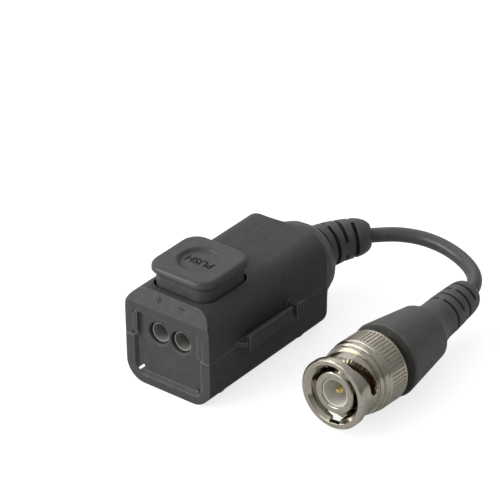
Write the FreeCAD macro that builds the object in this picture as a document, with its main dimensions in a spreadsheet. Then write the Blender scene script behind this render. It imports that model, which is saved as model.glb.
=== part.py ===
import FreeCAD, Part
import math
import os
import Sketcher

from FreeCAD import Placement, Rotation, Vector

# Video balun: a clamshell housing with a push-button wire terminal at the front,
# a bent strain relief at the rear and a short coax lead ending in a bayonet plug.
# Frame: X to the right, Y to the rear, Z up, origin at the middle of the base.

os.makedirs("parts", exist_ok=True)
doc = FreeCAD.newDocument("balun")

SIZES = {
    # housing
    "housing_width": 19.0,
    "housing_tall": 19.0,
    "housing_long": 34.4,
    "housing_corner": 4.0,
    "seam_level": 9.5,
    "side_wall": 1.4,
    "cavity_corner": 1.3,
    "front_wall": 2.1,
    "rear_wall": 1.8,
    "cone_long": 2.7,
    "cone_end_radius": 8.0,
    "band_crease_level": 16.5,
    "band_lean": 1.7,
    "part_gap": 0.1,
    "seat_gap": 0.02,
    # recess, tabs and wire holes
    "recess_depth": 0.7,
    "recess_rim": 1.85,
    "recess_bottom": 1.7,
    "recess_slope": 0.65,
    "recess_corner": 1.9,
    "notch_wide": 0.45,
    "notch_long": 1.15,
    "notch_tilt": 50.0,
    "tab_rim": 1.66,
    "tab_wide": 1.09,
    "tab_top": 14.6,
    "tab_corner": 0.95,
    "seam_groove_tall": 0.1,
    "seam_groove_deep": 0.25,
    "wire_level": 11.15,
    "wire_pitch": 5.0,
    "wire_hole_radius": 2.15,
    "wire_hole_bevel": 0.22,
    "entry_outer": 1.92,
    "entry_bore": 1.65,
    "entry_recess": 0.7,
    # rail and mating slot
    "rail_from_front": 8.8,
    "rail_web_lead": 1.3,
    "rail_long": 12.3,
    "rail_reach": 1.65,
    "rail_thick": 0.7,
    "rail_web_tall": 0.8,
    "rail_bottom": 8.9,
    "rail_top": 11.95,
    "stop_gap": 1.3,
    "stop_long": 1.9,
    "stop_reach": 2.4,
    "rail_gap": 0.15,
    "slot_channel_deep": 1.1,
    "slot_cover": 0.4,
    # push button
    "button_from_front": 9.65,
    "neck_wide": 12.6,
    "neck_deep": 12.4,
    "neck_corner": 2.5,
    "aperture_gap": 0.4,
    "cap_overhang": 0.8,
    "cap_corner": 3.3,
    "cap_level": 21.25,
    "cap_bevel": 0.7,
    "cap_top_level": 23.2,
    "cap_edge_radius": 0.85,
    "dish_radius": 4.35,
    "dish_floor_radius": 3.3,
    "dish_depth": 0.6,
    "flange_overlap": 0.8,
    "flange_bottom": 16.2,
    "leg_wide": 1.9,
    "leg_deep": 1.6,
    "leg_bottom": 13.1,
    "leg_from_shaft": 1.1,
    "spring_from_shaft": 1.7,
    "spring_radius": 1.6,
    "spring_wire": 0.4,
    "spring_pocket_radius": 2.3,
    "spring_pocket_top": 19.5,
    "spring_turns": 5.0,
    "spring_post_radius": 1.1,
    "spring_post_tall": 2.2,
    # terminal block, clamps and contacts
    "block_wide": 13.0,
    "block_long": 12.7,
    "block_top": 14.0,
    "shaft_wide": 2.3,
    "shaft_from_wall": 3.9,
    "shaft_long": 4.9,
    "shaft_floor": 7.6,
    "leaf_wide": 2.0,
    "leaf_thick": 0.25,
    "leaf_rise": 1.2,
    "contact_lift": 0.15,
    "contact_half": 1.0,
    "contact_reach": 2.6,
    "contact_thick": 0.4,
    "contact_deep": 2.15,
    "contact_gap": 0.05,
    # circuit board and the parts on it
    "board_side_gap": 0.5,
    "board_front_gap": 0.3,
    "board_back_gap": 2.4,
    "board_bottom": 4.0,
    "board_thick": 1.0,
    "rib_thick": 1.2,
    "rib_inset": 1.8,
    "core_from_block": 6.8,
    "core_outer": 4.6,
    "core_inner": 2.3,
    "core_bottom": 5.6,
    "core_tall": 3.0,
    "winding_wire": 0.44,
    "winding_gap": 0.02,
    "winding_turns": 7.0,
    "winding_step": 18.0,
    "film_wide": 1.8,
    "film_long": 5.4,
    "film_tall": 2.8,
    "resistor_radius": 0.9,
    "resistor_long": 3.8,
    "resistor_cap_long": 0.9,
    "resistor_lift": 0.2,
    "edge_inset": 0.3,
    "disc_radius": 2.2,
    "disc_thick": 1.5,
    "disc_soft": 0.4,
    "disc_lift": 0.6,
    "disc_inset": 2.4,
    "stem_shift": 1.25,
    "lead_radius": 0.25,
    # rear strain relief
    "boot_level": 9.3,
    "boot_flange_radius": 6.4,
    "boot_flange_thick": 1.4,
    "boot_collar_radius": 5.0,
    "dome_long": 4.4,
    "dome_end_radius": 6.2,
    "boot_straight": 3.3,
    "boot_bend_radius": 19.0,
    "boot_bend_angle": 43.7,
    "boot_root_radius": 4.6,
    "boot_tip_radius": 3.65,
    "boot_slot_wide": 0.85,
    "boot_slot_first": 2.3,
    "boot_slot_pitch": 2.6,
    "boot_slot_core": 2.1,
    "side_bridge": 1.1,
    "top_bridge": 0.5,
    # coax lead
    "cable_diameter": 2.8,
    "cable_seat_gap": 0.25,
    "cable_seat_depth": 0.5,
    # bayonet plug, positions along its axis from the front face of the ring
    "plug_x": 30.9,
    "plug_y": -10.05,
    "plug_z": 8.05,
    "plug_pitch": 3.0,
    "collar_radius": 6.65,
    "collar_long": 1.3,
    "sleeve_radius": 6.05,
    "sleeve_end": 5.8,
    "shoulder_radius": 6.45,
    "shoulder_end": 7.0,
    "step_radius": 6.7,
    "step_end": 8.2,
    "knurl_radius": 6.9,
    "knurl_end": 13.1,
    "knurl_count": 60.0,
    "knurl_depth": 0.22,
    "ring_bore": 4.95,
    "ring_mouth": 5.6,
    "lip_front": 7.2,
    "lip_back": 8.3,
    "chamber_radius": 5.6,
    "body_front_radius": 4.25,
    "body_radius": 5.2,
    "body_front": 6.4,
    "body_shoulder": 9.5,
    "body_back": 16.6,
    "turn_gap": 0.06,
    "slot_wide": 2.1,
    "slot_start_level": 2.2,
    "slot_end_level": 4.4,
    "slot_sweep": 84.0,
    "slot_start_angle": 97.0,
    "lug_notch_wide": 2.1,
    "lug_notch_radius": 5.55,
    "contact_recess": 0.6,
    "contact_outer": 4.05,
    "contact_inner": 2.75,
    "contact_end": 9.0,
    "insulator_recess": 1.0,
    "insulator_bore": 2.45,
    "insulator_floor": 6.0,
    "pin_radius": 0.675,
    "pin_front": 1.6,
    "pin_back": 12.0,
    "gasket_front": 4.4,
    "gasket_outer": 4.8,
    "clip_thick": 0.6,
    "clip_outer": 4.85,
    "washer_outer": 5.45,
    "washer_thick": 0.2,
    "washer_wave": 0.45,
    "ferrule_radius": 2.6,
    "ferrule_inner": 1.45,
    "ferrule_front": 13.5,
    "ferrule_end": 22.0,
    # plug strain relief
    "relief_front": 15.4,
    "relief_seat": 1.4,
    "relief_bend_start": 16.0,
    "relief_bend_end": 31.0,
    "relief_bend_radius": 170.0,
    "relief_bend_side": 51.0,
    "relief_nose_radius": 7.18,
    "relief_crease": 27.0,
    "relief_crease_radius": 5.6,
    "relief_waist": 31.0,
    "relief_waist_radius": 3.95,
    "relief_end": 43.3,
    "relief_slot_wide": 0.7,
    "relief_slot_first": 33.9,
    "relief_slot_pitch": 2.2,
    "relief_slot_core": 1.9,
}

sheet = doc.addObject("Spreadsheet::Sheet", "Sizes")
for row, (name, number) in enumerate(SIZES.items(), start=1):
    sheet.set("A%d" % row, name)
    sheet.set("B%d" % row, str(number))
    sheet.setAlias("B%d" % row, name)
doc.recompute()


class Size:
    """A length with its number and the sheet expression that gives it."""

    def __init__(self, number, text=None):
        self.number = float(number)
        self.text = text if text else "(%.6f)" % self.number

    def join(self, other, sign, number):
        return Size(number, "(%s %s %s)" % (self.text, sign, other.text))

    def __add__(self, other):
        other = as_size(other)
        return self.join(other, "+", self.number + other.number)

    def __sub__(self, other):
        other = as_size(other)
        return self.join(other, "-", self.number - other.number)

    def __mul__(self, other):
        other = as_size(other)
        return self.join(other, "*", self.number * other.number)

    def __truediv__(self, other):
        other = as_size(other)
        return self.join(other, "/", self.number / other.number)

    def __radd__(self, other):
        return as_size(other) + self

    def __rsub__(self, other):
        return as_size(other) - self

    def __rmul__(self, other):
        return as_size(other) * self

    def __neg__(self):
        return as_size(0) - self


def as_size(item):
    return item if isinstance(item, Size) else Size(item)


class Sheet:
    """Each alias of the sheet as a Size."""

    def __getattr__(self, name):
        return Size(sheet.get(name), "Sizes.%s" % name)


S = Sheet()
nodes = {}


def bind(item, prop, size):
    item.setExpression(prop, as_size(size).text)


def put(item, x, y, z):
    """Place an object's base point by expressions."""
    for axis, size in zip("xyz", (x, y, z)):
        bind(item, "Placement.Base.%s" % axis, size)


def keep(label, item):
    """Mark an object as a sub-part of its own."""
    item.Label = label
    nodes[label] = item
    return item


# Primitive and boolean helpers

def box(name, x0, x1, y0, y1, z0, z1):
    x0, x1, y0, y1, z0, z1 = [as_size(v) for v in (x0, x1, y0, y1, z0, z1)]
    item = doc.addObject("Part::Box", name)
    bind(item, "Length", x1 - x0)
    bind(item, "Width", y1 - y0)
    bind(item, "Height", z1 - z0)
    put(item, x0, y0, z0)
    return item


def cylinder(name, radius, tall, x, y, z, rotation=None):
    item = doc.addObject("Part::Cylinder", name)
    if rotation:
        item.Placement = Placement(Vector(), rotation)
    bind(item, "Radius", radius)
    bind(item, "Height", tall)
    put(item, x, y, z)
    return item


def cone(name, low, high, tall, x, y, z, rotation=None):
    item = doc.addObject("Part::Cone", name)
    if rotation:
        item.Placement = Placement(Vector(), rotation)
    bind(item, "Radius1", low)
    bind(item, "Radius2", high)
    bind(item, "Height", tall)
    put(item, x, y, z)
    return item


def fuse(name, items):
    item = doc.addObject("Part::MultiFuse", name)
    item.Shapes = items
    item.Refine = True
    return item


def cut(name, base, tools):
    item = doc.addObject("Part::Cut", name)
    item.Base = base
    item.Tool = tools[0] if len(tools) == 1 else fuse(name + "_tools", tools)
    item.Refine = True
    return item


def common(name, one, other):
    item = doc.addObject("Part::Common", name)
    item.Base = one
    item.Tool = other
    return item


def round_edges(name, base, radius, wanted, kind="Part::Fillet"):
    """Fillet, or chamfer, the edges of a part that a test picks."""
    doc.recompute()
    item = doc.addObject(kind, name)
    item.Base = base
    number = as_size(radius).number
    picked = [i for i, edge in enumerate(base.Shape.Edges, start=1) if wanted(edge)]
    item.Edges = [(i, number, number) for i in picked]
    return item


def along(axis):
    """A test for straight edges that run along an axis, by its number."""
    def wanted(edge):
        if edge.Curve.TypeId != "Part::GeomLine":
            return False
        return abs(abs(edge.tangentAt(edge.FirstParameter)[axis]) - 1) < 1e-6
    return wanted


def rounded_block(name, radius, axis, *limits):
    return round_edges(name, box(name + "_raw", *limits), radius, along(axis))


TO_REAR = Rotation(Vector(1, 0, 0), -90)
TO_FRONT = Rotation(Vector(1, 0, 0), 90)

# Sketch and body helpers


def plane_of(body, role):
    return [p for p in body.Origin.OriginFeatures if p.Role == role][0]


def new_sketch(body, name, role, offset=None):
    sketch = body.newObject("Sketcher::SketchObject", name)
    sketch.AttachmentSupport = [(plane_of(body, role), "")]
    sketch.MapMode = "FlatFace"
    if offset is not None:
        bind(sketch, "AttachmentOffset.Base.z", offset)
    return sketch


def outline(sketch, points):
    """Closed outline of straight lines, each corner held by sheet expressions."""
    points = [(as_size(a), as_size(b)) for a, b in points]
    corners = [Vector(a.number, b.number, 0) for a, b in points]
    count = len(corners)
    first = sketch.GeometryCount
    for i in range(count):
        sketch.addGeometry(Part.LineSegment(corners[i], corners[(i + 1) % count]), False)
    for i in range(count):
        after = first + (i + 1) % count
        sketch.addConstraint(Sketcher.Constraint("Coincident", first + i, 2, after, 1))
    for i, (a, b) in enumerate(points):
        for kind, size, axis in (("DistanceX", a, -2), ("DistanceY", b, -1)):
            if abs(size.number) < 1e-9:
                sketch.addConstraint(Sketcher.Constraint("PointOnObject", first + i, 1, axis))
                continue
            at = sketch.addConstraint(Sketcher.Constraint(kind, -1, 1, first + i, 1, size.number))
            bind(sketch, "Constraints[%d]" % at, size)


def turned(name, points):
    """Body revolved about its own Z from an outline of (radius, level)."""
    body = doc.addObject("PartDesign::Body", name)
    sketch = new_sketch(body, name + "_profile", "XZ_Plane")
    outline(sketch, points)
    turn = body.newObject("PartDesign::Revolution", name + "_turn")
    turn.Profile = sketch
    turn.ReferenceAxis = (sketch, ["V_Axis"])
    turn.Angle = 360
    body.Tip = turn
    doc.recompute()
    return body


def pocket_box(body, name, role, points, start, depth, sides=False):
    """Pocket of a straight outline into a body, checked by its volume."""
    doc.recompute()
    before = body.Shape.Volume
    sketch = new_sketch(body, name + "_outline", role, start)
    outline(sketch, points)
    pocket = body.newObject("PartDesign::Pocket", name)
    pocket.Profile = sketch
    bind(pocket, "Length", depth)
    pocket.Midplane = sides
    body.Tip = pocket
    doc.recompute()
    if body.Shape.Volume >= before - 1e-6:
        pocket.Reversed = True
        doc.recompute()
    if body.Shape.Volume >= before - 1e-6:
        raise RuntimeError("pocket cuts nothing: " + name)
    return pocket


def polar(body, name, feature, count):
    """Repeat a feature about the body's own Z."""
    pattern = body.newObject("PartDesign::PolarPattern", name)
    pattern.Originals = [feature]
    axes = [a for a in body.Origin.OriginFeatures if a.Role == "Z_Axis"]
    pattern.Axis = (axes[0], [""])
    pattern.Angle = 360
    bind(pattern, "Occurrences", count)
    body.Tip = pattern
    doc.recompute()
    return pattern


def shaped(name, shape, placement=None):
    """Free-form sub-part whose shape comes from Part functions."""
    item = doc.addObject("Part::Feature", name)
    item.Shape = shape
    if placement:
        item.Placement = placement
    return item


# Levels and limits shared by several pieces

half_wide = S.housing_width / 2
front = -(S.housing_long / 2)
back = S.housing_long / 2
cavity_half = half_wide - S.side_wall
cavity_front = front + S.front_wall
cavity_back = back - S.rear_wall
cavity_top = S.housing_tall - S.side_wall
cone_end = back + S.cone_long
wire_half = S.wire_pitch / 2
recess_half = half_wide - S.recess_rim
recess_floor = front + S.recess_depth
tab_outer = half_wide - S.tab_rim
rail_front = front + S.rail_from_front
rail_back = rail_front + S.rail_long
button_middle = front + S.button_from_front
shaft_front = cavity_front + S.shaft_from_wall
shaft_back = shaft_front + S.shaft_long
block_back = cavity_front + S.block_long
spring_y = shaft_back + S.spring_from_shaft
contact_level = S.wire_level + S.entry_bore + S.contact_lift
board_half = cavity_half - S.board_side_gap
board_front = cavity_front + S.board_front_gap
board_back = cavity_back - S.board_back_gap
board_top = S.board_bottom + S.board_thick


# Housing: outer form shared by both shells

def rounded_square(half, bottom, top, corner, y):
    """Closed rounded square at one station along Y, started at its right side."""
    c = corner
    raw = [(half, bottom + c, half, top - c), (half - c, top, -half + c, top),
           (-half, top - c, -half, bottom + c), (-half + c, bottom, half - c, bottom)]
    mids = [(half - c, top - c, 45), (-half + c, top - c, 135),
            (-half + c, bottom + c, 225), (half - c, bottom + c, 315)]
    edges = []
    for i, (line, mid) in enumerate(zip(raw, mids)):
        a, b = Vector(line[0], y, line[1]), Vector(line[2], y, line[3])
        after = raw[(i + 1) % 4]
        turn = math.radians(mid[2])
        bulge = Vector(mid[0] + c * math.cos(turn), y, mid[1] + c * math.sin(turn))
        edges.append(Part.LineSegment(a, b).toShape())
        edges.append(Part.Arc(b, bulge, Vector(after[0], y, after[1])).toShape())
    return Part.Wire(edges)


def split_circle(radius, level, y):
    """Circle at one station along Y, split to match the rounded square's edges."""
    angles = [-22]
    for span in (44, 46) * 4:
        angles.append(angles[-1] + span)
    edges = []
    for start, end in zip(angles, angles[1:]):
        points = []
        for angle in (start, (start + end) / 2, end):
            turn = math.radians(angle)
            points.append(Vector(radius * math.cos(turn), y, level + radius * math.sin(turn)))
        edges.append(Part.Arc(*points).toShape())
    return Part.Wire(edges)


rear_cone = shaped("rear_cone", Part.makeLoft([
    rounded_square(half_wide.number, 0, S.housing_tall.number, S.housing_corner.number, back.number),
    split_circle(S.cone_end_radius.number, S.seam_level.number, cone_end.number),
], True, True))


def outer_form(tag):
    """Outer form of the housing: rounded box, rear cone and leaning front band."""
    block = rounded_block("outer_block_" + tag, S.housing_corner, 1,
                          -half_wide, half_wide, front, back, 0, S.housing_tall)
    whole = fuse("outer_" + tag, [block, rear_cone])
    body = doc.addObject("PartDesign::Body", "band_wedge_" + tag)
    sketch = new_sketch(body, "band_profile_" + tag, "YZ_Plane")
    rise = S.housing_tall - S.band_crease_level
    outline(sketch, [(front, S.band_crease_level), (front + S.band_lean, S.housing_tall),
                     (front + S.band_lean * 2, S.housing_tall + rise), (front - 1, S.housing_tall + rise),
                     (front - 1, S.band_crease_level)])
    pad = body.newObject("PartDesign::Pad", "band_cut_" + tag)
    pad.Profile = sketch
    bind(pad, "Length", S.housing_width + 2)
    pad.Midplane = True
    body.Tip = pad
    return cut("leaned_" + tag, whole, [body])


def cavity(tag):
    return rounded_block("cavity_" + tag, S.cavity_corner, 1, -cavity_half, cavity_half,
                         cavity_front, cavity_back, S.side_wall, cavity_top)


def boot_bore(tag):
    return cylinder("boot_bore_" + tag, S.boot_collar_radius + S.seat_gap, S.rear_wall + S.cone_long + 1,
                    0, cavity_back - 0.5, S.boot_level, TO_REAR)


def wire_holes(tag):
    tools = []
    for side in (-1, 1):
        x = wire_half * side
        name = "wire_hole_%s_%s" % (tag, "left" if side < 0 else "right")
        tools.append(cylinder(name, S.wire_hole_radius, S.front_wall + 1, x, front - 0.5, S.wire_level,
                              TO_REAR))
        tools.append(cone(name + "_bevel", S.wire_hole_radius + S.wire_hole_bevel * 2, S.wire_hole_radius,
                          S.wire_hole_bevel * 2, x, recess_floor - S.wire_hole_bevel, S.wire_level,
                          TO_REAR))
    return tools


def slot_tools(tag):
    """Keyhole slot of the left wall: an entry window and a narrow slit before it."""
    window_front = rail_back - 1
    inside = -cavity_half + 0.5
    outside = -half_wide - 1
    window = box("slot_window_" + tag, outside, inside, window_front, cavity_back,
                 S.rail_bottom - S.part_gap, S.rail_top + S.part_gap)
    slit = box("slot_slit_" + tag, outside, inside, rail_front - S.rail_gap, window_front + 0.1,
               S.seam_level - S.part_gap, S.seam_level + S.rail_web_tall + S.part_gap)
    return [window, slit]


def slot_channel():
    """Inner cover behind the keyhole slot, so that the rail runs in a closed channel."""
    inner = -cavity_half + S.slot_channel_deep
    level = S.rail_top + S.part_gap
    y0, y1 = rail_front - S.rail_gap - 0.4, cavity_back - S.part_gap
    ledge = box("slot_ledge", -cavity_half - 0.3, inner + S.slot_cover, y0, y1, level, level + 0.5)
    cover = box("slot_cover", inner, inner + S.slot_cover, y0, y1, S.rail_bottom - 0.9, level + 0.5)
    return [ledge, cover]


# Lower shell: tray, recessed front panel with the wire holes, board ribs and seam lip

lower_half = common("lower_half", outer_form("lower"),
                    box("lower_zone", -half_wide - 1, half_wide + 1, front - 1, cone_end + 1, -1,
                        S.seam_level))
lower_hollow = cut("lower_hollow", lower_half, [cavity("lower")])
panel = rounded_block("front_panel", S.tab_corner, 1, -tab_outer, tab_outer, recess_floor, cavity_front,
                      S.seam_level - 3, S.tab_top)
tab_form = rounded_block("tab_form", S.tab_corner, 1, -tab_outer, tab_outer, front, recess_floor + 0.1,
                         S.seam_level - 3, S.tab_top)
tab_inner = tab_outer - S.tab_wide
tabs = cut("tabs", tab_form, [box("between_tabs", -tab_inner, tab_inner, front - 1, recess_floor + 1,
                                  S.seam_level - 4, S.tab_top + 1)])
ribs = []
for i, y in enumerate((board_front + S.rib_inset, board_back - S.rib_inset - S.rib_thick)):
    ribs.append(box("board_rib_%d" % i, -cavity_half - 0.3, cavity_half + 0.3, y, y + S.rib_thick,
                    S.side_wall - 0.3, S.board_bottom))
lip = box("seam_lip", cavity_half - 0.65, cavity_half - S.seat_gap, cavity_front + 0.6, cavity_back - 0.6,
          S.seam_level - 0.9, S.seam_level + 1.1)
lip_root = box("seam_lip_root", cavity_half - 0.65, cavity_half + 0.3, cavity_front + 0.6,
               cavity_back - 0.6, S.seam_level - 0.9, S.seam_level)
lower_whole = fuse("lower_whole", [lower_hollow, panel, tabs, lip, lip_root] + ribs)


def recess_ring(share):
    """Outline of the recess at a share of its depth: its walls slope in toward the floor."""
    shift = S.recess_slope.number * share
    return rounded_square(recess_half.number - shift, S.recess_bottom.number + shift,
                          S.tab_top.number - shift,
                          S.recess_corner.number - shift, front.number + S.recess_depth.number * share)


recess = shaped("recess", Part.makeLoft([recess_ring(-0.5), recess_ring(1)], True, True))
recess_keep = box("recess_keep", -half_wide, half_wide, front - 2, front + 2, S.seam_level, S.housing_tall)
recess_low = cut("recess_low", recess, [recess_keep])
notches = []
floor_corner = recess_half.number - S.recess_slope.number, S.recess_bottom.number + S.recess_slope.number
notch_in = (S.recess_corner.number - S.recess_slope.number) * (1 - math.sqrt(0.5))
for side, word in ((-1, "left"), (1, "right")):
    tilt = math.radians(S.notch_tilt.number)
    outward = Vector(side, 0, -1).normalize()
    down = outward * math.sin(tilt) + Vector(0, math.cos(tilt), 0)
    across = Vector(0, 1, 0).cross(outward)
    start = Vector(side * (floor_corner[0] - notch_in), recess_floor.number,
                   floor_corner[1] + notch_in) - down
    notch = box("corner_notch_" + word, 0, S.notch_wide, 0, S.notch_long, 0, 5)
    turn = Rotation(across, down.cross(across), down, "ZXY")
    notch.Placement = Placement(Vector(), turn)
    corner = start - turn.multVec(Vector(S.notch_wide.number, S.notch_long.number, 0)) / 2
    put(notch, corner.x, corner.y, corner.z)
    notches.append(notch)
groove_out = box("seam_groove_out", -half_wide - 1, half_wide + 1, front - 1, cone_end + 1,
                 S.seam_level - S.seam_groove_tall, S.seam_level + 1)
groove_in = box("seam_groove_in", -half_wide + S.seam_groove_deep, half_wide - S.seam_groove_deep,
                front + S.seam_groove_deep, cone_end + 2, S.seam_level - 1, S.seam_level + 2)
seam_groove = cut("seam_groove", groove_out, [groove_in])
keep("lower_shell", cut("lower_shell", lower_whole,
                        [recess_low, seam_groove, boot_bore("lower")] + notches + wire_holes("lower")
                        + slot_tools("lower")))

# Upper shell: inverted tray with the band, the button opening, the side rail and its stop

upper_half = common("upper_half", outer_form("upper"),
                    box("upper_zone", -half_wide - 1, half_wide + 1, front - 1, cone_end + 1,
                        S.seam_level, S.housing_tall + 1))
upper_hollow = cut("upper_hollow", upper_half, [cavity("upper")])
doorway = rounded_block("doorway", S.tab_corner, 1, -tab_outer - S.part_gap, tab_outer + S.part_gap,
                        front - 1, cavity_front + 0.5, S.seam_level - 3, S.tab_top + S.part_gap)
aperture = rounded_block("aperture", S.neck_corner + S.aperture_gap / 2, 2,
                         -(S.neck_wide / 2) - S.aperture_gap, S.neck_wide / 2 + S.aperture_gap,
                         button_middle - S.neck_deep / 2 - S.aperture_gap,
                         button_middle + S.neck_deep / 2 + S.aperture_gap,
                         cavity_top - 1, S.housing_tall + 1)


def rail_web():
    body = doc.addObject("PartDesign::Body", "rail_web")
    sketch = new_sketch(body, "rail_web_outline", "XY_Plane", S.seam_level)
    inner = half_wide - 0.4
    outer = half_wide + S.rail_reach
    web_front = rail_front - S.rail_web_lead
    outline(sketch, [(inner, web_front), (half_wide, web_front), (outer, rail_front),
                     (outer + S.rail_thick / 2, rail_front), (outer + S.rail_thick / 2, rail_back),
                     (inner, rail_back)])
    pad = body.newObject("PartDesign::Pad", "rail_web_pad")
    pad.Profile = sketch
    bind(pad, "Length", S.rail_web_tall)
    body.Tip = pad
    return body


rail_outer = half_wide + S.rail_reach + S.rail_thick
rail_flange = rounded_block("rail_flange", 0.2, 1, half_wide + S.rail_reach, rail_outer,
                            rail_front, rail_back, S.rail_bottom, S.rail_top)
stop_front = rail_back + S.stop_gap
rail_stop = rounded_block("rail_stop", 0.3, 0, half_wide, half_wide + S.stop_reach,
                          stop_front, stop_front + S.stop_long, S.rail_bottom, S.rail_top - 0.15)
upper_whole = fuse("upper_whole", [upper_hollow, rail_web(), rail_flange, rail_stop] + slot_channel())
keep("upper_shell", cut("upper_shell", upper_whole,
                        [doorway, aperture, boot_bore("upper")] + slot_tools("upper")))


# Push button: cap with a bevel below and a rounded edge above, dish, neck, flange, legs and spring pocket

def rounded_pad(name, wide, deep, corner, level, tall):
    """Rounded rectangle pad about the button's own middle."""
    body = doc.addObject("PartDesign::Body", name)
    sketch = new_sketch(body, name + "_outline", "XY_Plane", level)
    outline(sketch, [(-(wide / 2), -(deep / 2)), (wide / 2, -(deep / 2)), (wide / 2, deep / 2),
                     (-(wide / 2), deep / 2)])
    pad = body.newObject("PartDesign::Pad", name + "_pad")
    pad.Profile = sketch
    bind(pad, "Length", tall)
    doc.recompute()
    fillet = body.newObject("PartDesign::Fillet", name + "_corners")
    wanted = []
    for i, edge in enumerate(pad.Shape.Edges, start=1):
        ends = [v.Point.z for v in edge.Vertexes]
        if abs(ends[0] - ends[1]) > 0.05:
            wanted.append("Edge%d" % i)
    fillet.Base = (pad, wanted)
    bind(fillet, "Radius", corner)
    body.Tip = fillet
    put(body, 0, button_middle, 0)
    return body


neck_bottom = cavity_top - S.part_gap - 0.5
cap_wide = S.neck_wide + S.cap_overhang * 2
cap_deep = S.neck_deep + S.cap_overhang * 2
cap = rounded_pad("cap_form", cap_wide, cap_deep, S.cap_corner, S.cap_level, S.cap_top_level - S.cap_level)


def at_level(level):
    """A test for edges that lie at one level."""
    return lambda edge: all(abs(v.Point.z - level.number) < 1e-6 for v in edge.Vertexes)


bevelled = round_edges("cap_bevel", cap, S.cap_bevel, at_level(S.cap_level), "Part::Chamfer")
soft_cap = round_edges("cap_soft_rim", bevelled, S.cap_edge_radius, at_level(S.cap_top_level))
neck = rounded_pad("neck_form", S.neck_wide, S.neck_deep, S.neck_corner, neck_bottom,
                   S.cap_level + 0.5 - neck_bottom)
aperture_wide = S.neck_wide + S.aperture_gap * 2
aperture_deep = S.neck_deep + S.aperture_gap * 2
flange = rounded_pad("flange_form", aperture_wide + S.flange_overlap, aperture_deep + S.flange_overlap,
                     S.neck_corner, S.flange_bottom, cavity_top - S.part_gap - S.flange_bottom)
dish_floor = S.cap_top_level - S.dish_depth
dish = turned("dish", [
    (0, dish_floor), (S.dish_floor_radius, dish_floor), (S.dish_floor_radius + 0.35, dish_floor + 0.12),
    (S.dish_radius - 0.35, S.cap_top_level - 0.12), (S.dish_radius, S.cap_top_level),
    (S.dish_radius, S.cap_top_level + 1), (0, S.cap_top_level + 1)])
put(dish, 0, button_middle, 0)
legs = []
for side, word in ((-1, "left"), (1, "right")):
    x = wire_half * side
    leg_y = shaft_front + S.leg_from_shaft
    legs.append(box("button_leg_" + word, x - S.leg_wide / 2, x + S.leg_wide / 2, leg_y - S.leg_deep / 2,
                    leg_y + S.leg_deep / 2, S.leg_bottom, S.flange_bottom + 0.5))
button_solid = fuse("button_solid", [soft_cap, neck, flange] + legs)
spring_pocket = cylinder("spring_pocket", S.spring_pocket_radius,
                         S.spring_pocket_top - S.flange_bottom + 1, 0, spring_y, S.flange_bottom - 1)
keep("push_button", cut("push_button", button_solid, [dish, spring_pocket]))


def wire_form(points, radius, closed=False, sides=6):
    """Wire with a many-sided section along straight runs, mitred where they meet."""
    count = len(points)
    run_count = count if closed else count - 1
    runs = [(points[(i + 1) % count] - points[i]).normalize() for i in range(run_count)]
    start = runs[-1] + runs[0] if closed else runs[0]
    start.normalize()
    across = runs[0].cross(Vector(0.3, 0.5, 0.81)).normalize()
    up = runs[0].cross(across)
    section = []
    for i in range(sides):
        turn = 2 * math.pi * (i + 0.5) / sides
        point = points[0] + (across * math.cos(turn) + up * math.sin(turn)) * radius
        section.append(point - runs[0] * ((point - points[0]).dot(start) / runs[0].dot(start)))
    rings = [section]
    for i in range(1, count):
        before = runs[i - 1]
        plane = before + runs[i % len(runs)] if closed or i < count - 1 else Vector(before)
        plane.normalize()
        rings.append([p + before * ((points[i] - p).dot(plane) / before.dot(plane)) for p in rings[-1]])
    faces = []
    for i in range(count if closed else count - 1):
        low, high = rings[i], rings[(i + 1) % count]
        for j in range(sides):
            a, b, c, d = low[j], low[(j + 1) % sides], high[(j + 1) % sides], high[j]
            faces.append(Part.Face(Part.makePolygon([a, b, c, d, a])))
    if not closed:
        for ring in (rings[0], rings[-1]):
            faces.append(Part.Face(Part.makePolygon(ring + [ring[0]])))
    solid = Part.Solid(Part.Shell(faces))
    if solid.Volume < 0:
        solid.reverse()
    return solid


# Return spring between the terminal block and the button

spring_low = S.block_top.number + S.spring_wire.number / 2
spring_high = S.spring_pocket_top.number - S.spring_wire.number / 2
coil_steps = 14
coil_count = int(S.spring_turns.number * coil_steps)
coil_points = []
for i in range(coil_count + 1):
    turn = 2 * math.pi * i / coil_steps
    rise = (spring_high - spring_low) * i / coil_count
    coil_points.append(Vector(S.spring_radius.number * math.cos(turn),
                              S.spring_radius.number * math.sin(turn), rise))
keep("return_spring", shaped("return_spring", wire_form(coil_points, S.spring_wire.number / 2), Placement(
    Vector(0, spring_y.number, spring_low), Rotation())))

# Terminal block with two wire bores, clamp shafts, contact slots and a spring post

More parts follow.
